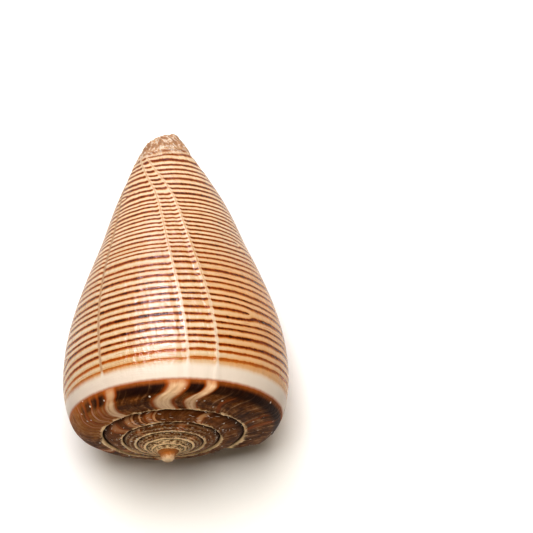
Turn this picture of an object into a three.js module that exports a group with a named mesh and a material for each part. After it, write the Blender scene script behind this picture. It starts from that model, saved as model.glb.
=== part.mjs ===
// A fig cone shell, lying on its opening: one piece of shell wall, coiled round an axis.
//
// The wall grows at the outer lip. Every point of the lip traces a spiral: one turn earlier it stood at a
// fixed share of its present radius and of its present distance from the apex. So the lip's profile and
// those shares give the whole shell: the low stepped spire, the body whorl, and the earlier whorl that
// shows inside the opening. Units are millimetres. +Z is up, and the anterior tip points along +Y.

import * as THREE from "three";

// How the shell lies: the outer lip's angle from the top, clockwise as seen from the spire, and how far
// the axis dips towards the anterior tip.
const LIP_ANGLE = THREE.MathUtils.degToRad(135.7);
const AXIS_DIP = THREE.MathUtils.degToRad(15.3);

// Shares of radius and of apex distance that the spire keeps one turn back.
const SPIRE_R = 0.688;
const SPIRE_Z = 0.818;

// The outer lip's profile from the ramp's inner edge to the anterior tip. Each point has its radius, its
// distance from the apex, the shares of both that it had one turn back, how many degrees it lags behind
// the shoulder along a growth line, and the wall's thickness there.
const PROFILE = [
  { r: 17.5, z: 6.5, shareR: SPIRE_R, shareZ: SPIRE_Z, lag: 5, wall: 1.7 },
  { r: 20.4, z: 6.9, shareR: SPIRE_R, shareZ: SPIRE_Z, lag: 9, wall: 1.8 },
  { r: 22.9, z: 7.65, shareR: SPIRE_R, shareZ: SPIRE_Z, lag: 6, wall: 2.0 },
  { r: 24.5, z: 8.75, shareR: SPIRE_R, shareZ: SPIRE_Z, lag: 0, wall: 2.3 },
  { r: 25.7, z: 10.7, shareR: SPIRE_R, shareZ: 0.828, lag: 0, wall: 2.4 },
  { r: 26.75, z: 13.9, shareR: SPIRE_R, shareZ: 0.841, lag: 0, wall: 2.3 },
  { r: 27.3, z: 18.3, shareR: SPIRE_R, shareZ: 0.855, lag: 0.5, wall: 2.2 },
  { r: 27.15, z: 23.4, shareR: 0.684, shareZ: 0.866, lag: 1.5, wall: 2.1 },
  { r: 26.2, z: 29.4, shareR: 0.674, shareZ: 0.874, lag: 3, wall: 2.0 },
  { r: 24.35, z: 35.5, shareR: 0.66, shareZ: 0.885, lag: 5, wall: 1.9 },
  { r: 21.55, z: 42.6, shareR: 0.64, shareZ: 0.9, lag: 7.5, wall: 1.8 },
  { r: 18.05, z: 50.1, shareR: 0.6, shareZ: 0.912, lag: 10.5, wall: 1.7 },
  { r: 14.55, z: 57.3, shareR: 0.54, shareZ: 0.918, lag: 14, wall: 1.6 },
  { r: 11.2, z: 63.6, shareR: 0.475, shareZ: 0.92, lag: 18, wall: 1.5 },
  { r: 8.6, z: 68.4, shareR: 0.43, shareZ: 0.92, lag: 22, wall: 1.4 },
  { r: 6.6, z: 72.0, shareR: 0.4, shareZ: 0.918, lag: 26, wall: 1.2 },
  { r: 4.3, z: 74.9, shareR: 0.4, shareZ: 0.915, lag: 30, wall: 1.0 },
];

// The ramp's inner edge is the suture, where this whorl meets the earlier one at that one's point EDGE.
// The wall there is as thick as the stretch from EDGE to CEILING, which it covers.
const EDGE = 4;
const CEILING = 5;
const edgePoint = PROFILE[EDGE - 1];
PROFILE.unshift({ ...edgePoint, r: edgePoint.r * SPIRE_R, z: edgePoint.z * SPIRE_Z, wall: 1.7 });
const LAST = PROFILE.length - 1;

const COLUMNS_PER_TURN = 44;
const SPIRE_TURNS = 6.25;
const RAMP_START_TURNS = 0.6;
const HOLLOW_TURNS = 2.25;
// The canal at the tip is an open gutter for this share of a turn back from the lip.
const CANAL_TURNS = 0.44;
// How strongly the lowest rows of the inner face close on the central pillar, from the tip upwards.
const CLOSING = [1, 0.5, 0.2, 0.05];
// The wall thins to this share of its thickness at the lip, over this part of a turn.
const LIP_SHARE = 0.6;
const LIP_TURNS = 0.12;
// The rounded first whorl at the apex, as rings of its edge's radius and height shares.
const APEX_RINGS = [
  [0.78, 0.76],
  [0.5, 0.36],
];

const smooth = (x) => THREE.MathUtils.smoothstep(x, 0, 1);

// A profile point some turns back, as (radius, distance from the apex, lag in degrees). The ramp narrows
// to nothing where the spire begins.
function outline(turns, row) {
  const p = PROFILE[row];
  const point = new THREE.Vector3(p.r * p.shareR ** turns, p.z * p.shareZ ** turns, p.lag);
  const narrowing = smooth((turns - SPIRE_TURNS) / RAMP_START_TURNS + 1);
  return row < EDGE ? point.lerp(outline(turns, EDGE), narrowing) : point;
}

// The axis runs along +Y from the apex, and angles run clockwise from +Z as seen from the spire.
function place(point, turns) {
  const angle = LIP_ANGLE - turns * 2 * Math.PI - THREE.MathUtils.degToRad(point.z);
  return new THREE.Vector3(point.x * Math.sin(angle), point.y, point.x * Math.cos(angle));
}

function outer(turns, row) {
  return place(outline(turns, row), turns);
}

// The wall's inner face: the outline moved inwards by the wall's thickness.
function inner(turns, row) {
  const before = outline(turns, Math.max(row - 1, 0));
  const after = outline(turns, Math.min(row + 1, LAST));
  const along = after.sub(before).setZ(0).normalize();
  const growth = SPIRE_R ** turns;
  const wall = PROFILE[row].wall * growth * (LIP_SHARE + (1 - LIP_SHARE) * smooth(turns / LIP_TURNS));
  const point = outline(turns, row).add(new THREE.Vector3(-along.y, along.x, 0).multiplyScalar(wall));
  const closing = (CLOSING[LAST - row] ?? 0) * smooth(turns / CANAL_TURNS);
  return place(point.lerp(outline(turns + 1, row), closing), turns);
}

// Builds one closed surface. Vertices are named by their place in the coil, so that neighbouring faces
// share them, and a face with a repeated vertex shrinks to a triangle or nothing.
function coil() {
  const M = COLUMNS_PER_TURN;
  const spireEnd = Math.round(SPIRE_TURNS * M);
  const hollowEnd = Math.round(HOLLOW_TURNS * M);
  const canalEnd = Math.round(CANAL_TURNS * M);
  const positions = [];
  const known = new Map();
  const faces = [];

  const vertex = (name, make) => {
    if (!known.has(name)) {
      known.set(name, positions.length / 3);
      positions.push(...make());
    }
    return known.get(name);
  };
  // The ramp's inner edge is the earlier whorl's EDGE row, one turn back.
  const out = (column, row) => {
    if (row === 0 && column + M <= spireEnd) return out(column + M, EDGE);
    if (row < EDGE && column === spireEnd) return out(column, EDGE);
    return vertex(`out ${column} ${row}`, () => outer(column / M, row));
  };
  // The inner face starts on the earlier whorl's CEILING row, and ends on its tip once the canal has closed.
  const inn = (column, row) => {
    if (row === 0) return out(column + M, CEILING);
    if (row === LAST && column >= canalEnd) return out(column + M, LAST);
    return vertex(`in ${column} ${row}`, () => inner(column / M, row));
  };
  const triangle = (a, b, c) => {
    if (a !== b && b !== c && c !== a) faces.push(a, b, c);
  };
  const quad = (a, b, c, d) => {
    triangle(a, b, c);
    triangle(a, c, d);
  };
  const patch = (point, columns, rows) => {
    for (let j = columns[0]; j < columns[1]; j++)
      for (let i = rows[0]; i < rows[1]; i++)
        quad(point(j, i), point(j, i + 1), point(j + 1, i + 1), point(j + 1, i));
  };

  // The body whorl, the spire's ramps, and the earlier whorl inside the hollow.
  patch(out, [0, M], [0, LAST]);
  patch(out, [M, spireEnd], [0, EDGE]);
  patch(out, [M, M + hollowEnd], [CEILING, LAST]);
  // The hollow's outer side, which faces the other way.
  patch((j, i) => inn(hollowEnd - j, i), [0, hollowEnd], [0, LAST]);
  // The lip's edge, and the hollow's blind end.
  for (let i = 0; i < LAST; i++) {
    quad(inn(0, i), inn(0, i + 1), out(0, i + 1), out(0, i));
    const far = (row) => out(hollowEnd + M, Math.max(row, CEILING));
    quad(far(i), far(i + 1), inn(hollowEnd, i + 1), inn(hollowEnd, i));
  }
  // The canal's rim, and the end of the pillar beside it.
  for (let j = 0; j < canalEnd; j++) quad(out(j, LAST), inn(j, LAST), inn(j + 1, LAST), out(j + 1, LAST));
  const pillarTip = vertex("pillar tip", () => place(new THREE.Vector3(0, outline(0.5, LAST).y, 0), 0));
  for (let j = canalEnd; j < canalEnd + M; j++) triangle(out(j, LAST), pillarTip, out(j + 1, LAST));
  triangle(out(canalEnd + M, LAST), pillarTip, out(canalEnd, LAST));
  // The apex: rings that shrink from the first whorl's edge, and the point that closes them.
  const edge = [];
  for (let j = spireEnd - M; j < spireEnd; j++) edge.push(out(j, 0));
  const ring = (index, k) => {
    if (index < 0) return edge[k];
    const [radius, height] = APEX_RINGS[index];
    return vertex(`apex ${index} ${k}`, () => {
      const at = 3 * edge[k];
      return [positions[at] * radius, positions[at + 1] * height, positions[at + 2] * radius];
    });
  };
  const apex = vertex("apex", () => [0, 0, 0]);
  for (let k = 0; k < edge.length; k++) {
    const next = (k + 1) % edge.length;
    for (let index = 0; index < APEX_RINGS.length; index++)
      quad(ring(index - 1, k), ring(index - 1, next), ring(index, next), ring(index, k));
    const last = APEX_RINGS.length - 1;
    triangle(ring(last, k), ring(last, next), apex);
  }

  const geometry = new THREE.BufferGeometry();
  geometry.setAttribute("position", new THREE.Float32BufferAttribute(positions, 3));
  geometry.setIndex(faces);
  return geometry;
}

const shell = new THREE.Mesh(
  coil(),
  new THREE.MeshStandardMaterial({ color: 0xd9b07a, roughness: 0.3, metalness: 0 }),
);
shell.name = "shell";
shell.rotation.x = -AXIS_DIP;

// The lying shell stands on the plane z = 0, centred on the origin.
const part = new THREE.Group();
part.add(shell);
part.updateMatrixWorld(true);
const box = new THREE.Box3().setFromObject(shell, true);
shell.position.set(-(box.min.x + box.max.x) / 2, -(box.min.y + box.max.y) / 2, -box.min.z);

export default part;
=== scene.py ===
# %% [markdown]
# A fig cone shell, lying on its opening. A snail builds its shell at one place only, the outer lip,
# and each turn is an enlarged copy of the turn before. This lesson builds the shell in the same way:
# a flat chart of the wall is drawn first, then a node tree coils it, and a material paints it by
# the snail's own two directions, along the growth and across it.

import math

import bpy
from mathutils import Matrix, Vector


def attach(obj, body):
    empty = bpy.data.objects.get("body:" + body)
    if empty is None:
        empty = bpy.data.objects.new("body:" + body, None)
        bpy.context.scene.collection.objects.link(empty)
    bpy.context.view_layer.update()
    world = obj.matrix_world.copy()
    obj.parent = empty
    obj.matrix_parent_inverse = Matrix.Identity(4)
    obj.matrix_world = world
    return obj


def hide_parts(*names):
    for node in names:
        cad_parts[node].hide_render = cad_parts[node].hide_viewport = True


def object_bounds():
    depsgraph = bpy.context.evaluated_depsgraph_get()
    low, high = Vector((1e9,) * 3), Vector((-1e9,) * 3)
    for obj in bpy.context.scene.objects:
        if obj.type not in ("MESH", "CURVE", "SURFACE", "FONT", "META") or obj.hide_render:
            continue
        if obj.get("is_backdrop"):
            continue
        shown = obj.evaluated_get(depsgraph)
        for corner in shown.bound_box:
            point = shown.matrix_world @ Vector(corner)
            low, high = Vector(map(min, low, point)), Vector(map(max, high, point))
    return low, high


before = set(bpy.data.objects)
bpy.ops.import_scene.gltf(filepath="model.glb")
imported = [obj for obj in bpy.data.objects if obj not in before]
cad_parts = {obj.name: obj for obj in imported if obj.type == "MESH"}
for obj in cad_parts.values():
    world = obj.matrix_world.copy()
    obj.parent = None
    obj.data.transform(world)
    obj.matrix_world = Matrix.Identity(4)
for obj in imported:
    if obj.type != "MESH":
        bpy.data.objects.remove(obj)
cad_low, cad_high = (Vector(corner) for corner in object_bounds())
print("CAD box, mm:", [round(1000 * side, 1) for side in cad_high - cad_low])

# %% [markdown]
# Node trees hold a lot of arithmetic here. Placing and wiring each Math node by hand hides the
# formula, so a small class stands for one value in a tree and makes the nodes when it is added to,
# multiplied or compared. It works in geometry trees and shader trees, because both share these nodes.


# %% Sums made of nodes
class Field:
    """One value in a node tree."""

    def __init__(self, tree, socket):
        self.tree = tree
        self.socket = socket

    def maths(self, operation, *others):
        node = self.tree.nodes.new("ShaderNodeMath")
        node.operation = operation
        for slot, value in zip(node.inputs, (self, *others)):
            feed(self.tree, slot, value)
        return Field(self.tree, node.outputs[0])

    def __add__(self, other):
        return self.maths("ADD", other)

    def __sub__(self, other):
        return self.maths("SUBTRACT", other)

    def __rsub__(self, other):
        return number(self.tree, other).maths("SUBTRACT", self)

    def __mul__(self, other):
        return self.maths("MULTIPLY", other)

    def __truediv__(self, other):
        return self.maths("DIVIDE", other)

    def __pow__(self, other):
        return self.maths("POWER", other)

    def sin(self):
        return self.maths("SINE")

    def cos(self):
        return self.maths("COSINE")

    def size(self):
        return self.maths("ABSOLUTE")

    def floor(self):
        return self.maths("FLOOR")

    def fraction(self):
        return self.maths("FRACT")

    def at_least(self, other):
        return self.maths("MAXIMUM", other)

    def at_most(self, other):
        return self.maths("MINIMUM", other)

    def rise(self, low, high):
        """0 below low, 1 above high, and a smooth slope between. Low above high makes it fall."""
        node = self.tree.nodes.new("ShaderNodeMapRange")
        node.interpolation_type = "SMOOTHSTEP"
        if low > high:
            low, high = high, low
            node.inputs["To Min"].default_value = 1.0
            node.inputs["To Max"].default_value = 0.0
        feed(self.tree, node.inputs["Value"], self)
        node.inputs["From Min"].default_value = low
        node.inputs["From Max"].default_value = high
        return Field(self.tree, node.outputs["Result"])

    def hump(self, centre, width):
        """1 at the centre, falling smoothly to 0 at this distance from it."""
        return (self - centre).size().rise(width, 0.0)


def feed(tree, slot, value):
    """Links a field to a socket, or sets the socket to a plain number."""
    if isinstance(value, Field):
        tree.links.new(value.socket, slot)
    else:
        slot.default_value = value


def number(tree, value):
    node = tree.nodes.new("ShaderNodeValue")
    node.outputs[0].default_value = value
    return Field(tree, node.outputs[0])


def vector(tree, x, y=0.0, z=0.0):
    node = tree.nodes.new("ShaderNodeCombineXYZ")
    for slot, value in zip(node.inputs, (x, y, z)):
        feed(tree, slot, value)
    return Field(tree, node.outputs[0])


def noise(tree, place, scale=1.0, detail=2.0, roughness=0.5):
    """Soft random bumps, about from -1 to 1."""
    node = tree.nodes.new("ShaderNodeTexNoise")
    feed(tree, node.inputs["Vector"], place)
    node.inputs["Scale"].default_value = scale
    node.inputs["Detail"].default_value = detail
    node.inputs["Roughness"].default_value = roughness
    height = node.outputs["Fac"] if "Fac" in node.outputs else node.outputs["Factor"]
    return (Field(tree, height) - 0.5) * 2.6


def chance(tree, place):
    """A random number from 0 to 1 that jumps from cell to cell."""
    node = tree.nodes.new("ShaderNodeTexWhiteNoise")
    node.noise_dimensions = "3D"
    feed(tree, node.inputs["Vector"], place)
    return Field(tree, node.outputs["Value"])


helpers = (feed, number, vector, noise, chance)
print("helpers for node sums:", ", ".join(helper.__name__ for helper in helpers))

# %% [markdown]
# A cone shell's wall can be described at the lip alone. Each point of the lip's profile has a radius
# and a distance from the apex. One turn earlier the same point stood at a fixed share of both, and
# along a growth line it lags a little behind the shoulder. A lathe would make a plain cone with no
# opening, so the profile is kept as numbers here and the coil is left to the growth rule.

# %% The lip's profile, in millimetres
MM = 0.001
LIP_ANGLE = math.radians(135.7)
AXIS_DIP = math.radians(15.3)
SPIRE_R = 0.688
SPIRE_Z = 0.818
# The shoulder's place in the profile, and the place where the hollow's ceiling meets the old wall.
EDGE = 4
CEILING = 5
# Radius, distance from the apex, the shares of both one turn back, lag in degrees, wall thickness.
PROFILE = [
    (17.5, 6.5, SPIRE_R, SPIRE_Z, 5, 1.7),
    (20.4, 6.9, SPIRE_R, SPIRE_Z, 9, 1.8),
    (22.9, 7.65, SPIRE_R, SPIRE_Z, 6, 2.0),
    (24.5, 8.75, SPIRE_R, SPIRE_Z, 0, 2.3),
    (25.7, 10.7, SPIRE_R, 0.828, 0, 2.4),
    (26.75, 13.9, SPIRE_R, 0.841, 0, 2.3),
    (27.3, 18.3, SPIRE_R, 0.855, 0.5, 2.2),
    (27.15, 23.4, 0.684, 0.866, 1.5, 2.1),
    (26.2, 29.4, 0.674, 0.874, 3, 2.0),
    (24.35, 35.5, 0.66, 0.885, 5, 1.9),
    (21.55, 42.6, 0.64, 0.9, 7.5, 1.8),
    (18.05, 50.1, 0.6, 0.912, 10.5, 1.7),
    (14.55, 57.3, 0.54, 0.918, 14, 1.6),
    (11.2, 63.6, 0.475, 0.92, 18, 1.5),
    (8.6, 68.4, 0.43, 0.92, 22, 1.4),
    (6.6, 72.0, 0.4, 0.918, 26, 1.2),
    (4.3, 74.9, 0.4, 0.915, 30, 1.0),
]
# The ramp starts where the shoulder stood one turn earlier: that line is the suture.
edge_r, edge_z = PROFILE[EDGE - 1][:2]
PROFILE.insert(0, (edge_r * SPIRE_R, edge_z * SPIRE_Z, SPIRE_R, SPIRE_Z, 0, 1.7))
RAMP_STEPS = 5
BODY_STEPS = 8


def smooth_read(column, place):
    """Reads one column of the profile at a fractional place, along a smooth cubic curve."""
    values = [point[column] for point in PROFILE]
    values = [2 * values[0] - values[1], *values, 2 * values[-1] - values[-2]]
    start = min(int(place), len(PROFILE) - 2)
    t = place - start
    weights = (
        (1 - t) ** 3 / 6,
        (3 * t**3 - 6 * t**2 + 4) / 6,
        (-3 * t**3 + 3 * t**2 + 3 * t + 1) / 6,
        t**3 / 6,
    )
    return sum(w * v for w, v in zip(weights, values[start : start + 4]))


def row_places():
    """Where the chart's rows lie along the profile."""
    ramp = [i / RAMP_STEPS for i in range(EDGE * RAMP_STEPS)]
    body = [EDGE + i / BODY_STEPS for i in range((len(PROFILE) - 1 - EDGE) * BODY_STEPS + 1)]
    return ramp + body


SMALL_STEP = 0.02
rows = []
length = 0.0
for place in row_places():
    r, z, share_r, share_z, lag, wall = (smooth_read(column, place) for column in range(6))
    before = max(place - SMALL_STEP, 0)
    along = Vector((r - smooth_read(0, before), z - smooth_read(1, before)))
    if before == place:
        along = Vector((smooth_read(0, SMALL_STEP) - r, smooth_read(1, SMALL_STEP) - z))
    along.normalize()
    if rows:
        length += math.hypot(r - rows[-1]["lip_r"], z - rows[-1]["lip_z"])
    rows.append(
        dict(
            lip_r=r, lip_z=z, share_r=share_r, share_z=share_z, lag=math.radians(lag), wall=wall,
            normal_r=-along.y, normal_z=along.x, across=length, closing=0.0,
        )
    )
EDGE_ROW = EDGE * RAMP_STEPS
CEILING_ROW = EDGE_ROW + BODY_STEPS * (CEILING - EDGE)
LAST_ROW = len(rows) - 1
SHOULDER = rows[EDGE_ROW]["across"]
print(f"{len(rows)} rows, {length:.1f} mm from suture to tip, shoulder at {SHOULDER:.1f} mm")

# %% [markdown]
# The wall is one closed surface: its outside, the lip's thin edge, its inside, and the earlier whorl
# that shows within. The chart is a mesh that has all of those faces and no shape yet. Each point
# carries its turn and its row's numbers, and a point that two whorls share is made once, so the
# coiled wall has no seam to close. Each face corner also keeps its own place on the chart, in turns
# and millimetres, which the material reads.

# %% The flat chart of the wall
TURN = 232
SPIRE_TURNS = 7.25
RAMP_START_TURNS = 0.6
HOLLOW_TURNS = 2.25
CANAL_TURNS = 0.3
INNER_STEP = 8
LIP_STEPS = CEILING_ROW - EDGE_ROW
CLOSING_ROWS = 32

spire_end = int(SPIRE_TURNS * TURN)
hollow_end = int(HOLLOW_TURNS * TURN)
canal_end = int(CANAL_TURNS * TURN)
points = {}
numbers = []
faces = []
chart = []


def smooth(x):
    x = min(max(x, 0.0), 1.0)
    return x * x * (3 - 2 * x)


def point(name, make):
    """The index of a named point, made the first time it is asked for."""
    if name not in points:
        points[name] = len(numbers)
        numbers.append(make())
    return points[name]


def outside(column, row):
    """A point of the wall's outside. The ramp's inner edge is the earlier whorl's shoulder."""
    if row == 0 and column + TURN <= spire_end:
        return outside(column + TURN, EDGE_ROW)
    if row < EDGE_ROW and column == spire_end:
        return outside(column, EDGE_ROW)

    def make():
        own = dict(rows[row], turns=column / TURN, inward=0.0)
        if row < EDGE_ROW:
            edge = rows[EDGE_ROW]
            narrowing = smooth((column / TURN - SPIRE_TURNS) / RAMP_START_TURNS + 1)
            for key in ("lip_r", "lip_z", "lag"):
                own[key] += (edge[key] - own[key]) * narrowing
        return own

    return point(("out", column, row), make)


def inside(column, row):
    """A point of the wall's inside. It starts under the earlier whorl's shoulder."""
    if row == 0:
        return outside(column + TURN, CEILING_ROW)
    if row == LAST_ROW and column >= canal_end:
        return outside(column + TURN, LAST_ROW)
    from_tip = 1 - (LAST_ROW - row) / CLOSING_ROWS
    closing = max(from_tip, 0.0) ** 2
    return point(
        ("in", column, row),
        lambda: dict(rows[row], turns=column / TURN, inward=1.0, closing=closing),
    )


def face(*corners):
    """Adds a face, unless its corners have run together. A corner is (point, turns, millimetres)."""
    kept = [c for k, c in enumerate(corners) if c[0] != corners[k - 1][0]]
    if len(kept) > 2:
        faces.append([c[0] for c in kept])
        chart.extend((c[1], c[2]) for c in kept)


def sheet(at, columns, row_list, flip=False):
    """Faces between neighbouring columns and rows of one side of the wall."""

    def corner(column, row):
        return at(column, row), column / TURN, rows[row]["across"]

    for left, right in zip(columns, columns[1:]):
        for low, high in zip(row_list, row_list[1:]):
            corners = [corner(left, low), corner(left, high), corner(right, high), corner(right, low)]
            face(*(reversed(corners) if flip else corners))


all_rows = range(LAST_ROW + 1)
deep = [*range(canal_end), *range(canal_end, hollow_end, INNER_STEP), hollow_end]
sheet(outside, range(TURN + 1), all_rows)
sheet(outside, range(TURN, spire_end + 1), range(EDGE_ROW + 1))
sheet(outside, [column + TURN for column in deep], range(CEILING_ROW, LAST_ROW + 1))
sheet(inside, deep, all_rows, flip=True)
print(f"{len(faces)} faces for the two sides of the wall")

# %% [markdown]
# Where the wall stops, its two sides have to be joined. At the lip and along the canal at the tip the
# edge is thin and rounded, so a few steps of points lead from the outside to the inside. A bevel
# would need a sharp edge to start from, and here there is none.


# %% The lip's edge and the canal's rim
RIM_THICKNESS = 0.3


def rim(column, row, step):
    """A point of the thin rounded edge between the outside (step 0) and the inside (the last step)."""
    if step == 0:
        return outside(column, row)
    if step == LIP_STEPS:
        return inside(column, row)
    share = step / LIP_STEPS
    roundness = math.sqrt(4 * share * (1 - share))

    def make():
        own = dict(rows[row], turns=column / TURN, inward=share, closing=share)
        bulge = RIM_THICKNESS * own["wall"] * roundness
        if column == 0:
            own["turns"] -= bulge / (2 * math.pi * own["lip_r"])
            own["closing"] = 0.0
        if row == LAST_ROW:
            own["lip_z"] += bulge
        return own

    return point(("rim", column, row, step), make)


def lip(row, step):
    """The lip's edge. Its posterior end runs down the wall that the earlier whorl already has."""
    at = outside(TURN, EDGE_ROW + step) if row == 0 else rim(0, row, step)
    return at, 0.0, rows[row]["across"]


def canal(column, step):
    return rim(column, LAST_ROW, step), column / TURN, rows[LAST_ROW]["across"]


for step in range(LIP_STEPS):
    for row in range(LAST_ROW):
        face(lip(row, step + 1), lip(row + 1, step + 1), lip(row + 1, step), lip(row, step))
    for column in range(canal_end):
        face(
            canal(column, step), canal(column, step + 1),
            canal(column + 1, step + 1), canal(column + 1, step),
        )
print(f"{len(faces)} faces with the lip and the canal")

# %% [markdown]
# Three openings are left in the chart: the hollow's blind end far up the coil, the apex, and the
# pillar's end at the tip. The blind end is a plain wall. The other two are closed by rings that
# shrink towards the axis, and the apex rings also set the shape of its blunt knob.

# %% The blind end, the apex and the pillar's end
# Shares of the last whorl's radius and distance from the apex, ring by ring.
APEX_RINGS = [
    (1.06, 0.88), (1.08, 0.7), (1.0, 0.5), (0.87, 0.3), (0.7, 0.14), (0.48, 0.05), (0.24, 0.01),
]
PILLAR_RINGS = [(0.75, 1.003), (0.4, 1.004), (0.0, 1.004)]
PILLAR_TURNS = 0.5
for row in range(LAST_ROW):
    far = [
        (outside(hollow_end + TURN, max(r, CEILING_ROW)), HOLLOW_TURNS + 1, rows[r]["across"])
        for r in (row, row + 1)
    ]
    near = [(inside(hollow_end, r), HOLLOW_TURNS, rows[r]["across"]) for r in (row + 1, row)]
    face(*far, *near)


def cap(loop, rings, u_of, across):
    """Closes a loop of points with rings that shrink to one point on the axis."""

    def ring_point(ring, k):
        if ring < 0:
            return loop[k]
        share_r, share_z = rings[ring]
        edge = numbers[loop[k]]

        def make():
            return dict(edge, lip_r=edge["lip_r"] * share_r, lip_z=edge["lip_z"] * share_z)

        return point(("cap", loop[0], ring, k if share_r else 0), make)

    for ring in range(len(rings)):
        for k in range(len(loop)):
            after = (k + 1) % len(loop)
            corners = [(ring - 1, k), (ring - 1, after), (ring, after), (ring, k)]
            face(*((ring_point(g, j), u_of(j), across(g)) for g, j in corners))


apex_loop = [outside(column, 0) for column in range(spire_end - TURN, spire_end)]
cap(apex_loop, [*APEX_RINGS, (0.0, 0.0)], lambda k: SPIRE_TURNS - 1 + k / TURN, lambda ring: -ring)
pillar_loop = [outside(column, LAST_ROW) for column in range(canal_end, canal_end + TURN + 1)]
pillar_loop += [rim(canal_end, LAST_ROW, step) for step in range(LIP_STEPS - 1, 0, -1)]
tip_across = rows[LAST_ROW]["across"]
cap(pillar_loop[::-1], PILLAR_RINGS, lambda k: PILLAR_TURNS, lambda ring: tip_across)
print(f"{len(numbers)} points and {len(faces)} faces in the chart")

# %% [markdown]
# The chart becomes a mesh object. Every number that a point carries is stored as a named attribute,
# because Geometry Nodes can read those, and the place on the chart is stored as a UV map, because a
# UV may differ between two faces that share a point. The suture needs that: it is both the
# shoulder of one whorl and the inner edge of the next.

# %% The chart as a mesh
mesh = bpy.data.meshes.new("shell_chart")
mesh.from_pydata([(n["turns"], n["across"], 0.0) for n in numbers], [], faces)
NUMBERS = (
    "turns", "lip_r", "lip_z", "share_r", "share_z", "lag", "wall",
    "normal_r", "normal_z", "inward", "closing", "across",
)
for name in NUMBERS:
    attribute = mesh.attributes.new(name, "FLOAT", "POINT")
    attribute.data.foreach_set("value", [n[name] for n in numbers])
uv = mesh.uv_layers.new(name="chart")
uv.data.foreach_set("uv", [value for corner in chart for value in corner])
shell = bpy.data.objects.new("cone_shell", mesh)
bpy.context.scene.collection.objects.link(shell)
print(f"{len(NUMBERS)} attributes on {len(mesh.vertices)} points")

# %% [markdown]
# Geometry Nodes coil the chart, because the shell's shape follows a rule: radius and distance from
# the apex shrink by fixed shares per turn. The tree reads each point's numbers and sets its place.
# What can be changed without touching the rule, such as the height of the growth lines, is a named
# input. All heights are in millimetres.

# %% The node tree that coils the shell
tree = bpy.data.node_groups.new("grow_shell", "GeometryNodeTree")
TREE_INPUTS = {
    "Lip angle": LIP_ANGLE,
    "Lip thinness": 0.6,
    "Lip thinning turns": 0.12,
    "Canal turns": CANAL_TURNS,
    "Growth line height": 0.045,
    "Ramp roughness": 0.16,
    "Tip wrinkles": 0.55,
    "Suture roughness": 0.4,
    "Worn whorl roughness": 0.9,
    "Whorl wander": 0.55,
    "Lip chips": 0.0045,
    "Lip corner": 0.022,
    "Neck width": 0.09,
    "Neck lean": 0.85,
    "Tip slant": 0.12,
    "Seed": 7.0,
}
tree.interface.new_socket("Geometry", in_out="INPUT", socket_type="NodeSocketGeometry")
tree.interface.new_socket("Geometry", in_out="OUTPUT", socket_type="NodeSocketGeometry")
identifiers = {}
for name, value in TREE_INPUTS.items():
    socket = tree.interface.new_socket(name, in_out="INPUT", socket_type="NodeSocketFloat")
    socket.default_value = value
    identifiers[name] = socket.identifier
material_socket = tree.interface.new_socket(
    "Material", in_out="INPUT", socket_type="NodeSocketMaterial"
)
identifiers["Material"] = material_socket.identifier
group_in = tree.nodes.new("NodeGroupInput")
group_out = tree.nodes.new("NodeGroupOutput")


def given(name):
    return Field(tree, group_in.outputs[name])


def stored(name):
    node = tree.nodes.new("GeometryNodeInputNamedAttribute")
    node.data_type = "FLOAT"
    node.inputs["Name"].default_value = name
    return Field(tree, node.outputs["Attribute"])


turns, across, inward, wall = (stored(name) for name in ("turns", "across", "inward", "wall"))
seed = given("Seed")
print(f"{len(TREE_INPUTS)} inputs on the tree")

# %% [markdown]
# A snail stops building now and then, and the old lip stays as a scar across the whorl. Seven such
# pauses are listed once, because they do three things here: they raise a ridge or a groove, break
# the colour lines, and leave a paler stripe, which on the ridges is also a painted highlight. A scar
# is a growth line, so it bends back near the tip, and the growth clock tells the time along it.

# %% Pauses in growth
# Turns back from the lip, width in millimetres, height of the scar in millimetres.
PAUSES = [
    (0.052, 0.9, 0.10),
    (0.298, 1.0, 0.30),
    (0.340, 0.9, 0.24),
    (0.384, 0.7, 0.04),
    (0.472, 0.7, -0.20),
    (0.610, 0.8, 0.05),
    (0.845, 1.4, 0.45),
]
TIP_SWEEP = 0.21
SWEEP_FROM, SWEEP_LENGTH, SWEEP_BEND = 56.0, 30.0, 2.2
# A scar keeps its width at the tip: distances there are measured as on a whorl of this radius.
LEAST_RADIUS = 8.0


def growth_clock(turns, across):
    """Turns back from the lip, told along a growth line, which sweeps back near the tip."""
    return turns - ((across - SWEEP_FROM) / SWEEP_LENGTH).at_least(0.0) ** SWEEP_BEND * TIP_SWEEP


def distance_from(pause, clock, lip_radius):
    """Millimetres round the whorl from a pause, measured as they were at the lip."""
    return (clock - pause) * lip_radius.at_least(LEAST_RADIUS) * (2 * math.pi)


print(f"{len(PAUSES)} pauses in the last whorl")

# %% [markdown]
# The relief is a height above the smooth wall. Apart from the scars it is noise, stretched along the
# growth or across it and faded in where it belongs: fine growth lines everywhere, a ragged ridge
# along the suture, crust on the worn early whorls, wrinkles at the tip. A slow wander keeps the early
# whorls from coiling too evenly. The relief shrinks with the coil, so an early whorl has it at a
# smaller scale. It is real shape, because it shows in the outline.

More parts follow.
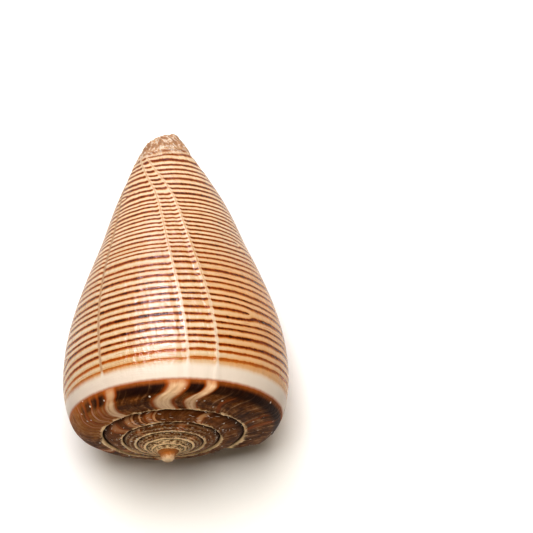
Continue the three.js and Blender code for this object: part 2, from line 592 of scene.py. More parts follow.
# %% Scars, growth lines and wrinkles
SCAR_TROUGH = 0.4
outer_face = inward.rise(0.6, 0.0)
on_ramp = across.rise(SHOULDER + 1.0, SHOULDER - 3.0)
tip_end = across.rise(tip_across - 14.0, tip_across - 3.0)
clock = growth_clock(turns, across) + noise(tree, vector(tree, across * 0.11, seed), detail=1.0) * 0.002
scars = number(tree, 0.0)
for at, width, height in PAUSES:
    away = distance_from(at, clock, stored("lip_r"))
    scars = scars + away.hump(0.0, width) * height
    scars = scars - away.hump(1.3 * width, 0.9 * width) * (SCAR_TROUGH * abs(height))
growth = noise(tree, vector(tree, turns * 95.0, across * 0.06, seed), detail=3.0)
growth_soft = noise(tree, vector(tree, turns * 17.0, across * 0.04, seed + 3.0), detail=1.0)
wrinkles = noise(tree, vector(tree, clock * 22.0, across * 0.4, seed + 5.0), detail=2.0)
suture_bumps = noise(tree, vector(tree, turns * 50.0, across * 0.5, seed + 9.0), detail=3.0)
suture_ridge = across.hump(0.75, 0.8) * (suture_bumps * 0.7 + 1.0) * turns.rise(0.0, 0.3)
worn_whorls = turns.rise(1.5, 5.0)
crust = noise(tree, vector(tree, turns * 22.0, across * 0.8, seed + 13.0), detail=4.0)
wander = noise(tree, vector(tree, turns * 6.5, seed + 21.0), detail=2.0) * turns.rise(0.7, 1.3)
relief = (
    scars * across.rise(SHOULDER - 4.0, SHOULDER + 1.0) * across.rise(tip_across, tip_across - 20.0)
    + growth * given("Growth line height")
    + growth_soft * (given("Growth line height") * 1.6)
    + growth * on_ramp * given("Ramp roughness")
    + wrinkles * tip_end * given("Tip wrinkles")
    + suture_ridge * (worn_whorls * 1.2 + 1.0) * given("Suture roughness")
    + crust * worn_whorls * given("Worn whorl roughness")
    + wander * given("Whorl wander")
) * outer_face * (stored("share_r") ** turns)
print(f"{len(tree.nodes)} nodes with the relief")

# %% [markdown]
# Now the rule itself. A point's own radius is its radius at the lip times its share, raised to the
# number of turns. The inside lies one wall thickness in, and it closes on the earlier whorl where
# the canal ends. The last few inputs give what a strict rule misses: the lip is chipped and its
# corner is drawn back, the neck is a little wider from side to side, and the tip leans and slants.

# %% The growth rule
# Distances from the apex in millimetres, for the neck's width and for where the slant and lean grow.
NECK_MIDDLE, NECK_REACH = 62.0, 16.0
SLANT_FROM, SLANT_FULL = 66.0, 75.0
LEAN_FROM, LEAN_FULL = 44.0, 74.0
chipping = noise(tree, vector(tree, 0.0, across * 0.9, seed + 11.0), detail=4.0, roughness=0.65)
turns_now = turns + turns.rise(0.02, 0.0) * chipping.at_least(-0.2) * given("Lip chips")
turns_now = turns_now + turns.rise(0.12, 0.0) * across.hump(SHOULDER - 2.0, 7.0) * given("Lip corner")


def rise_over(reach, start):
    """A smooth rise from a start at the lip to 1 at this many turns back, with inputs for both."""
    node = tree.nodes.new("ShaderNodeMapRange")
    node.interpolation_type = "SMOOTHSTEP"
    feed(tree, node.inputs["Value"], turns)
    feed(tree, node.inputs["From Max"], reach)
    feed(tree, node.inputs["To Min"], start)
    return Field(tree, node.outputs["Result"])


depth = inward * wall * rise_over(given("Lip thinning turns"), given("Lip thinness"))
closing = stored("closing") * rise_over(given("Canal turns"), 0.0)


def grown(at_lip, inward_normal, share):
    """The radius or the distance from the apex, in millimetres, as the coil has it."""
    own = (at_lip + inward_normal * depth) * share**turns_now
    one_turn_back = at_lip * share ** (turns_now + 1.0)
    return own + (one_turn_back - own) * closing - inward_normal * relief


radius = grown(stored("lip_r"), stored("normal_r"), stored("share_r"))
apex_distance = grown(stored("lip_z"), stored("normal_z"), stored("share_z"))
angle = given("Lip angle") - turns_now * (2 * math.pi) - stored("lag")
widening = apex_distance.hump(NECK_MIDDLE, NECK_REACH) * given("Neck width") + 1.0
sideways = radius * angle.sin() * widening
slant = apex_distance.rise(SLANT_FROM, SLANT_FULL) * given("Tip slant")
apex_distance = apex_distance + sideways * slant
sideways = sideways - apex_distance.rise(LEAN_FROM, LEAN_FULL) * given("Neck lean")
coiled = vector(tree, sideways, apex_distance, radius * angle.cos())
print(f"{len(tree.nodes)} nodes with the growth rule")

# %% [markdown]
# The axis lies along +Y and dips towards the tip, because a cone shell on a table rests on its lip
# and its swollen shoulder, which lifts the spire. The tree's last nodes tip it, scale it to metres
# and give it its material.

# %% Laying the shell down
tipped = tree.nodes.new("ShaderNodeVectorRotate")
tipped.rotation_type = "X_AXIS"
tipped.inputs["Angle"].default_value = -AXIS_DIP
tree.links.new(coiled.socket, tipped.inputs["Vector"])
scaled = tree.nodes.new("ShaderNodeVectorMath")
scaled.operation = "SCALE"
scaled.inputs["Scale"].default_value = MM
tree.links.new(tipped.outputs[0], scaled.inputs[0])
set_position = tree.nodes.new("GeometryNodeSetPosition")
smooth_faces = tree.nodes.new("GeometryNodeSetShadeSmooth")
realize = tree.nodes.new("GeometryNodeRealizeInstances")
set_material = tree.nodes.new("GeometryNodeSetMaterial")
chain = [group_in, set_position, smooth_faces, realize, set_material, group_out]
for source, target in zip(chain, chain[1:]):
    tree.links.new(source.outputs["Geometry" if "Geometry" in source.outputs else 0], target.inputs[0])
tree.links.new(scaled.outputs[0], set_position.inputs["Position"])
tree.links.new(group_in.outputs["Material"], set_material.inputs["Material"])
print(f"{len(tree.nodes)} nodes in the whole tree")

# %% [markdown]
# The tree has done its work once the shell is coiled, so its result is kept as a plain mesh. The
# shell is then moved until it stands on the floor, in the middle of its own footprint, and edges
# sharper than 50 degrees stay sharp in the shading.

# %% The coiled shell as a plain mesh
SHARP_ANGLE = math.radians(50)
shell_material = bpy.data.materials.new("shell_glaze_and_lines")
modifier = shell.modifiers.new("grow", "NODES")
modifier.node_group = tree
for name, value in TREE_INPUTS.items():
    modifier[identifiers[name]] = value
modifier[identifiers["Material"]] = shell_material
depsgraph = bpy.context.evaluated_depsgraph_get()
grown_mesh = bpy.data.meshes.new_from_object(
    shell.evaluated_get(depsgraph), preserve_all_data_layers=True, depsgraph=depsgraph
)
shell.modifiers.remove(modifier)
shell.data = grown_mesh
shell.data.name = "cone_shell"
corners = [v.co for v in grown_mesh.vertices]
low = Vector(min(c[i] for c in corners) for i in range(3))
high = Vector(max(c[i] for c in corners) for i in range(3))
print("coiled size, mm:", [round(1000 * side, 1) for side in high - low])
centre = (low + high) / 2
grown_mesh.transform(Matrix.Translation((-centre.x, -centre.y, -low.z)))
grown_mesh.set_sharp_from_angle(angle=SHARP_ANGLE)
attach(shell, "root")
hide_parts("shell")

# %% [markdown]
# The snail lays its colour down at the lip as well, from one row of cells. A cell that stays in the
# same place draws a line that runs round the shell, and a pause in growth breaks every line at once.
# So the material reads the chart: one number along the growth, in turns, and one across it, in
# millimetres. A texture on plain object coordinates could not follow a coil.

# %% Reading the chart in the material
shell_material.use_nodes = True
paint = shell_material.node_tree
bsdf = paint.nodes["Principled BSDF"]


def read_attribute(name):
    node = paint.nodes.new("ShaderNodeAttribute")
    node.attribute_name = name
    return Field(paint, node.outputs["Fac"])


chart_node = paint.nodes.new("ShaderNodeUVMap")
chart_node.uv_map = "chart"
chart_axes = paint.nodes.new("ShaderNodeSeparateXYZ")
paint.links.new(chart_node.outputs["UV"], chart_axes.inputs[0])
# Turns back from the lip, and millimetres over from the suture.
back = Field(paint, chart_axes.outputs["X"])
over = Field(paint, chart_axes.outputs["Y"])
place_node = paint.nodes.new("ShaderNodeTexCoord")
place = Field(paint, place_node.outputs["Object"])
depth_in = read_attribute("inward")
lip_radius = read_attribute("lip_r")
clock = growth_clock(back, over)


def chart_noise(per_turn, per_mm, third=0.0, detail=2.0, roughness=0.5):
    """Noise drawn on the chart: bumps per turn along the growth, and per millimetre across it."""
    where = vector(paint, back * per_turn, over * per_mm, third)
    return noise(paint, where, detail=detail, roughness=roughness)


print(f"{len(paint.nodes)} nodes that read the chart and the shell's numbers")

# %% [markdown]
# The palette runs from porcelain to nearly black, all of it warm, because the shell has one brown
# pigment in different strengths. Colours are written as they look on a screen and turned into
# linear light by a function, since a shader adds and mixes light.


# %% Colours
def tone(red, green, blue):
    """A colour from screen values of 0 to 255, in the linear numbers that Blender works in."""
    linear = [((c / 255 + 0.055) / 1.055) ** 2.4 for c in (red, green, blue)]
    return (*linear, 1.0)


PORCELAIN = tone(228, 222, 212)
CREAM = tone(206, 193, 178)
SAND = tone(202, 186, 165)
PEACH = tone(192, 166, 134)
HONEY = tone(180, 128, 72)
ORANGE = tone(154, 80, 16)
BROWN = tone(146, 86, 18)
UMBER = tone(34, 11, 1)


def overlay(share, below, above):
    """One colour laid over another, by a share from 0 to 1."""
    node = paint.nodes.new("ShaderNodeMix")
    node.data_type = "RGBA"
    feed(paint, node.inputs[0], share)
    feed(paint, node.inputs[6], below)
    feed(paint, node.inputs[7], above)
    return Field(paint, node.outputs[2])


print("cream in linear light:", [round(channel, 3) for channel in CREAM[:3]])

# %% [markdown]
# About forty-three lines cross the body. They stand 1.7 mm apart at the shoulder, closer towards the
# middle, and wider again at the tip. Counting them is easy in the chart: the count rises with the
# distance from the suture, at a rate set for each stretch. The whole part of the count names the
# line, so each line can have its own darkness, and the fraction says how far a point is from the
# line. Where a line ends between two others, the angle about that point adds one to the count.

# %% The lines' count
# Stretches of even spacing: start, end and spacing, in millimetres from the suture.
LINE_STRETCHES = [(14.3, 42.0, 1.70), (42.0, 60.0, 1.28), (60.0, 84.0, 1.60)]
# Where one line ends between two others: turns back from the lip, distance from the suture in mm.
LINE_ENDS = [(0.235, 26.8), (0.560, 22.0), (0.440, 62.0), (0.180, 47.0), (0.700, 36.0), (0.930, 30.0)]
count = number(paint, 0.0)
for start, end, spacing in LINE_STRETCHES:
    count = count + (over.at_least(start).at_most(end) - start) / spacing
for at, height in LINE_ENDS:
    along = distance_from(at, clock, lip_radius)
    count = count + (over - height).maths("ARCTAN2", along) / (2 * math.pi)
print(f"{len(LINE_ENDS)} lines end between two others")

# %% [markdown]
# At every pause but the faintest ones all lines break off, and the new ones start a little out of
# step, because the colour cells had drifted meanwhile. So the material counts the pauses passed,
# and this number, the segment, gives each stretch of a line its own shift and darkness.

# %% The pauses seen by the material
BREAK_WIDTH = 0.7
GROOVE_WIDTH = 0.8
FAINT_HEIGHT = 0.08
segment = number(paint, 0.0)
pause_near = number(paint, 0.0)
pause_middle = number(paint, 0.0)
groove = number(paint, 0.0)
ragged = noise(paint, place, scale=700.0) * 0.12
for at, width, height in PAUSES:
    away = distance_from(at, clock, lip_radius) + ragged
    if abs(height) > FAINT_HEIGHT:
        segment = segment + clock.maths("GREATER_THAN", at)
        pause_near = pause_near.at_least(away.hump(0.0, BREAK_WIDTH))
        pause_middle = pause_middle.at_least(away.hump(0.0, 0.4 * BREAK_WIDTH))
    if height < 0:
        groove = groove.at_least(away.hump(0.0, GROOVE_WIDTH))
waver = noise(paint, place, scale=230.0, detail=1.0) * 0.07 + noise(paint, place, scale=1100.0) * 0.04
sway = noise(paint, vector(paint, segment * 3.7, over * 0.30), detail=0.0) * 0.25
count = count + waver + sway
line = count.floor()
aside = count.fraction() - 0.5
broken_by = sum(abs(height) > FAINT_HEIGHT for at, width, height in PAUSES)
print(f"the lines break at {broken_by} of the {len(PAUSES)} pauses")

# %% [markdown]
# A line has a dark core and an orange halo, which spreads more on one side. Its width and darkness
# change in small beads, since the snail lays the pigment down in pulses. The first lines below
# the shoulder are thin and orange, and here and there a faint stray line runs between two others.

# %% The lines
LINE_BROWN = tone(120, 46, 0)
LINE_DARK = tone(50, 18, 0)
dark_line = chance(paint, vector(paint, line, segment))
beads = noise(paint, vector(paint, back * 110.0, line * 5.3, segment * 2.9), detail=3.0, roughness=0.6)
striae = chart_noise(330.0, 0.35)
whole = (pause_near.rise(0.75, 0.15) * 0.7 + 0.3) * over.rise(tip_across + 0.5, tip_across - 6.0)
first_lines = over.rise(19.0, 14.4)
half_width = beads * 0.045 + striae * 0.034 + dark_line * 0.03 + 0.104
half_width = half_width - first_lines * 0.05 + over.rise(35.0, 60.0) * 0.03
half_width = half_width * (whole * 0.6 + 0.4)
core = (aside.size() - half_width).rise(0.05, -0.05) * whole
halo = ((aside + 0.03).size() - half_width).rise(0.25, -0.02) * whole
darkness = dark_line * 0.3 + beads * 0.8 - first_lines * 1.3 + over.rise(45.0, 28.0) * 0.2 + 0.1
darkness = darkness.rise(0.0, 1.0)
darkness = darkness * pause_near.rise(0.3, 0.0)
stray = chance(paint, vector(paint, line, segment, 8.0)).maths("GREATER_THAN", 0.86)
stray = stray * (aside.size() - 0.5).size().rise(0.09, 0.02)
stray = stray * noise(paint, vector(paint, back * 40.0, line * 3.1), detail=0.0).rise(0.0, 0.5)
print(f"{len(paint.nodes)} nodes with the lines")

# %% [markdown]
# Between the lines the ground is peach, paler where growth paused, and on the scars' ridges that
# paleness is partly a painted highlight. Each interval between two lines differs a little from the
# next. A shell that has only its pattern looks printed, so the ground also gets faint streaks, along
# the growth lines and along the spiral.

# %% The ground between the lines
AMBER = tone(204, 150, 90)
PALE_SAND = tone(220, 197, 165)
GOLD = tone(184, 116, 32)
GROOVE_TAN_AND_SHADE = tone(150, 106, 64)
patchy = noise(paint, place, scale=70.0, detail=3.0)
interval = chance(paint, vector(paint, (count + 0.5).floor(), segment, 2.0))
streaks = chart_noise(150.0, 0.12, detail=3.0)
spiral_streaks = chart_noise(9.0, 3.2, detail=3.0)
ground_mix = interval * 0.4 + patchy * 0.3 + spiral_streaks * 0.22 + aside.size() * 1.6 - 0.32
ground = overlay(ground_mix.rise(0.0, 1.0), PEACH, SAND)
ground = overlay(streaks.rise(0.2, 1.2) * 0.35, ground, CREAM)
ground = overlay((streaks + patchy).rise(0.0, -1.6) * 0.35, ground, HONEY)
ground = overlay(back.rise(0.33, 0.24) * over.rise(50.0, 32.0) * 0.5, ground, AMBER)
ground = overlay(over.rise(38.0, 58.0) * 0.55, ground, PALE_SAND)
# Cream over the scars: their own paler stripe, and a painted highlight on their ridges.
ground = overlay(pause_near * (over.rise(42.0, 20.0) * 0.4 + 0.6), ground, CREAM)
colour = overlay(halo * 0.9, ground, GOLD)
colour = overlay(halo.rise(0.5, 1.0) * 0.75, colour, ORANGE)
line_tone = overlay(first_lines, overlay(darkness, LINE_BROWN, LINE_DARK), ORANGE)
colour = overlay(core, colour, line_tone)
colour = overlay(stray * whole * 0.6, colour, ORANGE)
colour = overlay(pause_middle * (over.rise(18.0, 42.0) * 0.5 + 0.15), colour, HONEY)
# The groove scar darkened to tan-brown: partly its own colour, partly painted shade in the groove.
colour = overlay(groove * 0.7, colour, GROOVE_TAN_AND_SHADE)
print(f"{len(paint.nodes)} nodes with the ground")

# %% [markdown]
# At the shoulder the lines give way to a white band. Towards the lines it passes through a honey
# glow, and both its borders waver a little, since a straight edge would look like a painted ring.

# %% The shoulder band
BAND_TOP = 13.3
BAND_WHITE = tone(206, 196, 186)
band_edge = over - pause_near * 0.6 + patchy * 0.2 + streaks * 0.15
band = band_edge.rise(BAND_TOP + 1.2, BAND_TOP - 0.3)
band_glow = over.hump(BAND_TOP + 1.0, 1.8) * (streaks * 0.3 + 0.6).rise(0.0, 1.0)
colour = overlay(band_glow * 0.5, colour, HONEY)
colour = overlay(band * 0.95, colour, BAND_WHITE)
colour = overlay(band * streaks.rise(0.3, 1.4) * 0.35, colour, PEACH)
print(f"white band from the shoulder's edge to {BAND_TOP} mm")

# %% [markdown]
# The ramp is the flat part of each whorl inside the shoulder. It is nearly black, crossed by cream
# flames where growth paused. Each flame is listed by its place, width and strength, because their
# spacing is uneven and they are the first thing seen on the spire. The noise on their clock bends
# them all a little.

# %% The flames
# Cream flames: turns back from the lip, half their width in turns, strength.
FLAMES = [
    (0.356, 0.023, 1.0), (0.305, 0.014, 1.0), (0.463, 0.016, 0.9), (0.490, 0.006, 0.5),
    (0.508, 0.005, 0.6), (0.527, 0.006, 0.4), (0.548, 0.005, 0.5), (0.247, 0.006, 0.3),
    (0.120, 0.008, 0.35), (0.150, 0.005, 0.25), (0.845, 0.024, 0.9), (0.700, 0.014, 0.6),
    (1.258, 0.012, 0.8), (1.385, 0.005, 1.0), (1.400, 0.014, 0.6), (1.425, 0.004, 0.9),
    (1.447, 0.005, 1.0), (1.462, 0.014, 0.7),
    (1.520, 0.024, 0.6), (1.700, 0.014, 0.6), (1.880, 0.018, 0.7), (2.300, 0.020, 0.5),
    (2.470, 0.016, 0.6), (2.780, 0.020, 0.6), (3.200, 0.030, 0.5), (3.600, 0.030, 0.5),
]
ramp_clock = back + noise(paint, vector(paint, over * 0.25, back * 5.0), detail=2.0) * 0.006
flame = number(paint, 0.0)
for at, half, strength in FLAMES:
    near = (ramp_clock - at).size() / half
    flame = flame.at_least(near.rise(1.3, 0.2) * strength)
ramp_lines = chart_noise(120.0, 0.10, detail=4.0, roughness=0.6)
flame = flame + ramp_lines * flame.rise(0.0, 0.3) * 0.14
print(f"{len(FLAMES)} flames")

# %% [markdown]
# Between the flames the ramp is never one black. Brown shows where it is worn, tan and umber streaks
# follow the growth lines, and the part next to the shoulder stays darkest. The tan streaks are laid
# on more strongly towards the lip's end of the ramp, where they are partly a painted sheen. Each layer
# is laid over the one before by its own share. The flames come last, with an orange border and a
# streaked inside, and a thin orange rim sets the whole ramp off from the white band.

# %% The ramp
RAMP_EDGE = 10.25
DARK_BROWN = tone(62, 30, 4)
CHESTNUT = tone(158, 98, 30)
WORN_TAN_AND_SHEEN = tone(190, 152, 114)
FLAME = tone(224, 196, 164)
OLD_FLAME = tone(206, 146, 82)
FLAME_STREAK = tone(164, 106, 56)
FRINGE = tone(172, 100, 36)
wear = chart_noise(30.0, 0.35, 4.0, detail=4.0, roughness=0.65)
pitting = noise(paint, place, scale=1500.0, detail=3.0, roughness=0.6)
outer_ramp = (over + wear * 0.7).rise(6.2, 7.8) * back.rise(1.1, 0.9) * back.rise(0.56, 0.50)
paler = back.hump(0.53, 0.12) * 0.8
ramp = overlay((wear * 0.6 + 0.38 + paler).rise(0.0, 1.0), DARK_BROWN, CHESTNUT)
worn_and_sheen_streaks = (ramp_lines + wear * 0.6 + pitting * 0.4).rise(-0.1, 0.9)
# Tan wear streaks, laid on more strongly within 0.3 turns of the lip, where they are partly a painted
# sheen.
ramp = overlay(worn_and_sheen_streaks * (back.rise(0.3, 0.1) * 0.35 + 0.65), ramp, WORN_TAN_AND_SHEEN)
ramp = overlay((ramp_lines + pitting * 0.4).rise(0.0, -0.7) * 0.75, ramp, UMBER)
ramp = overlay(outer_ramp * (0.9 - ramp_lines.rise(0.0, 1.0) * 0.5), ramp, UMBER)
flame_here = flame - outer_ramp * 0.22
ramp = overlay(back.rise(1.0, 1.2) * 0.3, ramp, BROWN)
ramp = overlay(flame_here.rise(0.02, 0.40) * 0.85, ramp, ORANGE)
flame_tone = overlay(back.rise(1.0, 1.2) * 0.55, FLAME, OLD_FLAME)
ramp = overlay(flame_here.rise(0.30, 0.95), ramp, flame_tone)
flame_streaks = flame_here.rise(0.30, 0.80) * (ramp_lines + wear * 0.5).rise(-0.3, 0.9)
ramp = overlay(flame_streaks * 0.75, ramp, FLAME_STREAK)
ramp_edge = over + streaks * 0.10 + patchy * 0.08
on_ramp = ramp_edge.rise(RAMP_EDGE + 0.14, RAMP_EDGE - 0.14)
ramp_rim = ramp_edge.rise(RAMP_EDGE + 0.75, RAMP_EDGE)
colour = overlay(ramp_rim * 0.8, colour, ORANGE)
fringe = ramp_edge.rise(RAMP_EDGE - 1.3, RAMP_EDGE - 0.2) * (wear * 0.4 + 0.7).rise(0.0, 1.0)
colour = overlay(on_ramp, colour, overlay(fringe * 0.75, ramp, FRINGE))
print(f"{len(paint.nodes)} nodes with the ramp, which starts {RAMP_EDGE} mm from the suture")

# %% [markdown]
# The early whorls have lain on sand and rock longest. Their sutures stand out as pale ragged threads
# with a painted shadow in the crease beside them, and the outer band of each early whorl is dark in
# its own colour. The ground between turns to chalky crust, the more so the nearer the apex. At the
# apex a bare knob is left, brown at its foot and pale on top, and the pale top is brightened further
# as a painted highlight, since the lamps hardly reach it.

# %% Sutures, worn whorls and the apex
CRUST = tone(248, 222, 180)
# The knob's pale end: its own paler colour, brightened further as a painted highlight where the lamps
# hardly reach.
APEX_PALE_AND_HIGHLIGHT = tone(250, 222, 188)
APEX_BROWN = tone(180, 116, 58)
scallop = noise(paint, vector(paint, back * 16.0, 31.0), detail=2.0)
ridge_width = back.rise(0.8, 4.5) * 1.3 + scallop * 0.55 + wear * 0.5 + pitting * 0.5
suture_edge = (over - ridge_width).rise(1.25, 0.6) * over.rise(0.05, 0.4)
suture_edge = suture_edge * (scallop * 0.6 + wear * 0.5 + 0.75).rise(0.0, 0.7)
# Dark beside each suture: a painted shadow in the crease, and on the whorls from the second on, their own
# dark outer band.
suture_crease_shadow_and_dark_band = over.rise(0.35, 0.0).at_least((over + wear * 0.6).rise(5.0, 8.4) * back.rise(0.9, 1.1))
old = (back + wear * 0.5).rise(1.6, 4.2)
oldest = back.rise(5.4, 6.2)
crust = chart_noise(22.0, 0.8, 13.0, detail=4.0) * 0.6 + pitting * 0.7
threads = ((over + crust * 0.6) / 2.6).fraction().hump(0.5, 0.34) * back.rise(1.8, 2.6)
colour = overlay(on_ramp * old * (crust + back.rise(2.5, 5.0) * 0.45).rise(0.0, 0.9), colour, CRUST)
colour = overlay(on_ramp * threads * (crust * 0.5 + 0.5).rise(0.0, 1.0) * 0.7, colour, CRUST)
colour = overlay(on_ramp * back.rise(1.2, 2.2) * crust.rise(0.0, -0.7) * 0.85, colour, UMBER)
# Umber beside the sutures: painted shadow in the crease, with the early whorls' own dark band.
colour = overlay(on_ramp * suture_crease_shadow_and_dark_band * 0.85, colour, UMBER)
colour = overlay(on_ramp * suture_edge * 0.9, colour, CRUST)
# The knob is brown at its foot and pale on its end, and that pale end is partly a painted highlight.
apex_tone = overlay((over + crust * 1.8).rise(-4.5, -0.5), APEX_PALE_AND_HIGHLIGHT, APEX_BROWN)
colour = overlay(oldest * 0.9, colour, apex_tone)
print(f"{len(paint.nodes)} nodes with the worn whorls")

# %% [markdown]
# Knocks and borings have left small white flecks: round dots on the whole ramp, and short scratches
# in two directions on the early whorls. A Voronoi texture scatters cells, a random number picks some
# of them, and the distance from the cell's middle draws the fleck. Stretching the chart before it
# is read turns dots into scratches.


# %% White flecks on the ramp
def flecks(where, scale, share, size):
    """Small dots, one in some of the cells of a scattered grid."""
    node = paint.nodes.new("ShaderNodeTexVoronoi")
    feed(paint, node.inputs["Vector"], where)
    node.inputs["Scale"].default_value = scale
    chosen = Field(paint, node.outputs["Color"]).maths("GREATER_THAN", 1.0 - share)
    return chosen * Field(paint, node.outputs["Distance"]).rise(size, size * 0.4)


dots = flecks(place, 420.0, 0.28, 0.15).at_least(flecks(place, 800.0, 0.25, 0.26))
along, down = back * 36.0, over * 0.7
dashes = flecks(vector(paint, (along + down) * 0.55, (along - down) * 2.2), 1.0, 0.40, 0.30)
crossing = vector(paint, (along - down) * 0.6, (along + down) * 2.4, 5.0)
dashes = dashes.at_least(flecks(crossing, 1.0, 0.35, 0.28))
fleck = dots.at_least(dashes * back.rise(1.0, 1.25) * back.rise(4.5, 3.5))
colour = overlay(fleck * on_ramp * 0.9, colour, PORCELAIN)
print(f"{len(paint.nodes)} nodes with the flecks")

# %% [markdown]
# The tip is a rough bundle of growth ends. Its colour follows its fine bumps: darker in the furrows,
# partly its own brown and partly painted shade, and white on the crests, a painted highlight. The lip
# is thin, and its edge shows the colour cells end on, as a mottled brown rim. Everything inside is
# bare white glaze, which the depth in the wall tells apart from the outside.

# %% The tip, the lip's edge and the inside
# The furrows' brown is partly the tip's own colour and partly painted shade.
TIP_BROWN_AND_FURROW_SHADE = tone(136, 88, 52)
TIP_TAN = tone(184, 142, 104)
tip_rough = noise(paint, vector(paint, clock * 30.0, over * 0.55, 12.0), detail=4.0, roughness=0.6)
tip_share = (over + tip_rough * 1.2).rise(tip_across - 8.0, tip_across - 4.0)
tip_colour = overlay(tip_rough.rise(-0.6, 0.3), TIP_BROWN_AND_FURROW_SHADE, TIP_TAN)
# White on the crests of the tip's bumps: a painted highlight.
tip_colour = overlay(tip_rough.hump(0.15, 0.16) * 0.8, tip_colour, PORCELAIN)
colour = overlay(tip_share * 0.9, colour, tip_colour)
glaze = depth_in.rise(0.55, 0.9).at_least((back - 1.0).rise(0.0, 0.012) * over.rise(12.0, 13.0))
lip_border = back.rise(0.035, 0.0) * glaze
edge_mottle = noise(paint, place, scale=900.0, detail=2.0)
lip_edge = depth_in.hump(0.5, 0.42) * back.rise(0.02, 0.0)
colour = overlay(glaze, colour, PORCELAIN)
colour = overlay(lip_border * 0.6, colour, SAND)
colour = overlay(lip_edge, colour, overlay(edge_mottle.rise(-0.5, 0.5), LINE_BROWN, HONEY))
fasciole = glaze * back.rise(0.9, 1.02) * over.rise(60.0, 66.0)
# The fasciole takes the tip's colour, with its painted furrow shade and crest highlight.
colour = overlay(fasciole * 0.8, colour, tip_colour)
paint.links.new(colour.socket, bsdf.inputs["Base Color"])
print(f"{len(paint.nodes)} nodes with the tip, the lip and the inside")

# %% [markdown]
# The glaze is worn unevenly, so its highlight breaks up into streaks and specks. Fine ridges do that,
# along the growth lines and round the shell, with a fine grain over them. They are far finer than
# the mesh, so they are bump, while every scar and wrinkle that shows in outline is real shape. The
# specular level is low, so that the pale floor hardly greys the dark lines, and the strip light is
# strong enough to show the highlight all the same.

# %% Gloss and fine relief
SPECULAR_LEVEL = 0.13
roughness = noise(paint, place, scale=160.0, detail=3.0) * 0.05 + 0.2
roughness = roughness + band * 0.22 + on_ramp * 0.12 + tip_share * 0.16 + pause_near * 0.05
paint.links.new(roughness.socket, bsdf.inputs["Roughness"])
bsdf.inputs["Specular IOR Level"].default_value = SPECULAR_LEVEL
fine_growth = chart_noise(230.0, 0.7, detail=3.0, roughness=0.6)
growth_waves = chart_noise(100.0, 0.10, detail=1.0)
fine_spiral = chart_noise(40.0, 5.0)
grain = noise(paint, place, scale=1100.0, detail=2.0)
height = fine_growth * 0.06 + growth_waves * 0.09 + fine_spiral * 0.04 + grain * 0.05 - core * 0.06
height = height * (1.0 - band * 0.7)
height = height + on_ramp * (ramp_lines * 0.12 + grain * 0.03) + tip_share * tip_rough * 0.30
bump = paint.nodes.new("ShaderNodeBump")
bump.inputs["Distance"].default_value = MM
feed(paint, bump.inputs["Height"], height * (glaze * -0.85 + 1.0))
paint.links.new(bump.outputs["Normal"], bsdf.inputs["Normal"])
print(len(paint.nodes), "nodes in the shell's material")

# %% [markdown]
# The shell lies on a plain pale floor. It is only the stage, so it has a plain matt finish and it
# isn't a piece of the part. It is wide enough to pass out of sight on all sides.

# %% Floor
FLOOR_SIZE = 4
PALE_GREY = (0.85, 0.85, 0.85, 1)
bpy.ops.mesh.primitive_plane_add(size=FLOOR_SIZE, location=(0, 0, 0))
floor = bpy.context.object
floor.name = "pale_floor"
floor_material = bpy.data.materials.new("pale_floor")
floor_material.use_nodes = True
floor_bsdf = floor_material.node_tree.nodes["Principled BSDF"]
floor_bsdf.inputs["Base Color"].default_value = PALE_GREY
floor_bsdf.inputs["Roughness"].default_value = 0.8
floor.data.materials.append(floor_material)
floor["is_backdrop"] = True
print(f"floor of {FLOOR_SIZE} by {FLOOR_SIZE} metres")

# %% [markdown]
# A large key softbox stands nearly overhead and gives soft light and a short shadow. The highlight
# down the back comes from a second, bluish strip beyond the tip. The two are kept apart: the key
# isn't seen in reflections, and the strip is seen only there, so that it casts no second shadow.
# A weak warm surround fills the shadows, and it is brighter where the camera sees it, as a white
# backdrop.

# %% Light
SURROUND_LIGHT = 0.15
BACKDROP_LIGHT = 1.5
SURROUND_TINT = (1.0, 0.85, 0.66, 1.0)
KEY_TINT = (1.0, 0.97, 0.92)
STRIP_TINT = (0.70, 0.77, 1.0)
AIM_HEIGHT = 0.02
scene = bpy.context.scene
scene.view_settings.view_transform = "Standard"
scene.view_settings.look = "High Contrast"
world = bpy.data.worlds.new("studio")
world.use_nodes = True
surround = world.node_tree.nodes["Background"]
surround.inputs["Color"].default_value = SURROUND_TINT
seen = world.node_tree.nodes.new("ShaderNodeLightPath")
strength = world.node_tree.nodes.new("ShaderNodeMix")
strength.inputs["A"].default_value = SURROUND_LIGHT
strength.inputs["B"].default_value = BACKDROP_LIGHT
world.node_tree.links.new(seen.outputs["Is Camera Ray"], strength.inputs["Factor"])
world.node_tree.links.new(strength.outputs["Result"], surround.inputs["Strength"])
scene.world = world


def softbox(name, direction, distance, size, power, colour):
    """An area light that faces the shell. The direction is (degrees right of +Y, degrees up)."""
    turn, lift = (math.radians(angle) for angle in direction)
    aim = Vector((0, 0, AIM_HEIGHT))
    out = Vector((math.sin(turn) * math.cos(lift), math.cos(turn) * math.cos(lift), math.sin(lift)))
    data = bpy.data.lights.new(name, "AREA")
    data.shape = "RECTANGLE"
    data.size, data.size_y = size
    data.energy = power
    data.color = colour
    light = bpy.data.objects.new(name, data)
    light.location = aim + out * distance
    light.visible_camera = False
    light.rotation_euler = (-out).to_track_quat("-Z", "Y").to_euler()
    scene.collection.objects.link(light)
    return light


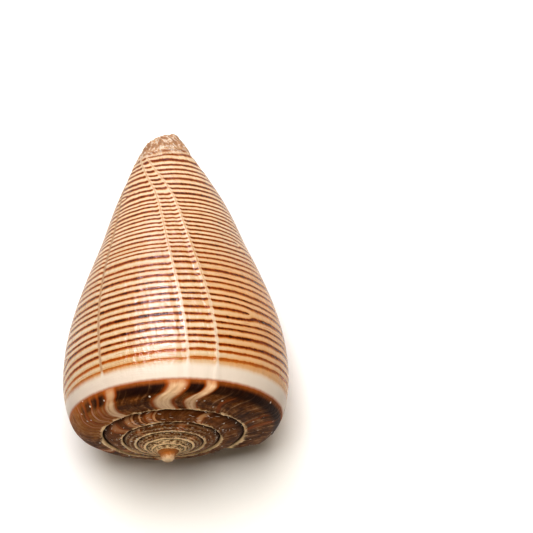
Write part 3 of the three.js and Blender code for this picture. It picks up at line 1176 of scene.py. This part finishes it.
key = softbox("key_softbox", (-9, 72), distance=1.0, size=(0.7, 0.7), power=12.0, colour=KEY_TINT)
key.visible_glossy = False
strip = softbox("strip_softbox", (-12, 44), distance=1.0, size=(0.42, 0.5), power=64.0, colour=STRIP_TINT)
strip.visible_diffuse = False
print("lights, watts:", {light.name: light.data.energy for light in (key, strip)})

# %% [markdown]
# The camera looks down steeply on the shell from the spire's side, through a long lens, so that the
# spire, the shoulder and the whole back show at once with little perspective.

# %% Camera
ELEVATION = math.radians(82.6)
LEAN = math.radians(-2.0)
DISTANCE = 0.82
FIELD_WIDTH = 0.1122
SENSOR_WIDTH = 36.0
LENGTH = 0.075
AIM_RIGHT, AIM_UP = 0.0220, 0.0037
forward = Vector((0, math.cos(ELEVATION), -math.sin(ELEVATION)))
up = Vector((0, math.sin(ELEVATION), math.cos(ELEVATION)))
right = Vector((1, 0, 0))
leaned_up = up * math.cos(LEAN) - right * math.sin(LEAN)
leaned_right = right * math.cos(LEAN) + up * math.sin(LEAN)
mid_axis = Vector((0, LENGTH / 2, 0)) - Vector((centre.x, centre.y, low.z))
eye = mid_axis + leaned_right * AIM_RIGHT + leaned_up * AIM_UP - forward * DISTANCE
camera_data = bpy.data.cameras.new("camera")
camera_data.sensor_width = SENSOR_WIDTH
camera_data.lens = SENSOR_WIDTH * DISTANCE / FIELD_WIDTH
camera = bpy.data.objects.new("camera", camera_data)
columns = zip(leaned_right, leaned_up, -forward, eye)
camera.matrix_world = Matrix([*columns, (0, 0, 0, 1)])
scene.collection.objects.link(camera)
scene.camera = camera
print(f"lens {camera_data.lens:.0f} mm, field {1000 * FIELD_WIDTH:.0f} mm wide at the shell")

# %% [markdown]
# The last cell measures the finished shell's box, keeps it beside the CAD model's, and prints its size.

# %% Sizes, and the end
new_low, new_high = (Vector(corner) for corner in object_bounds())
sizes = {"cad": [list(cad_low), list(cad_high)], "visual": [list(new_low), list(new_high)]}
print("visual size, mm:", [round(1000 * side, 1) for side in new_high - new_low])
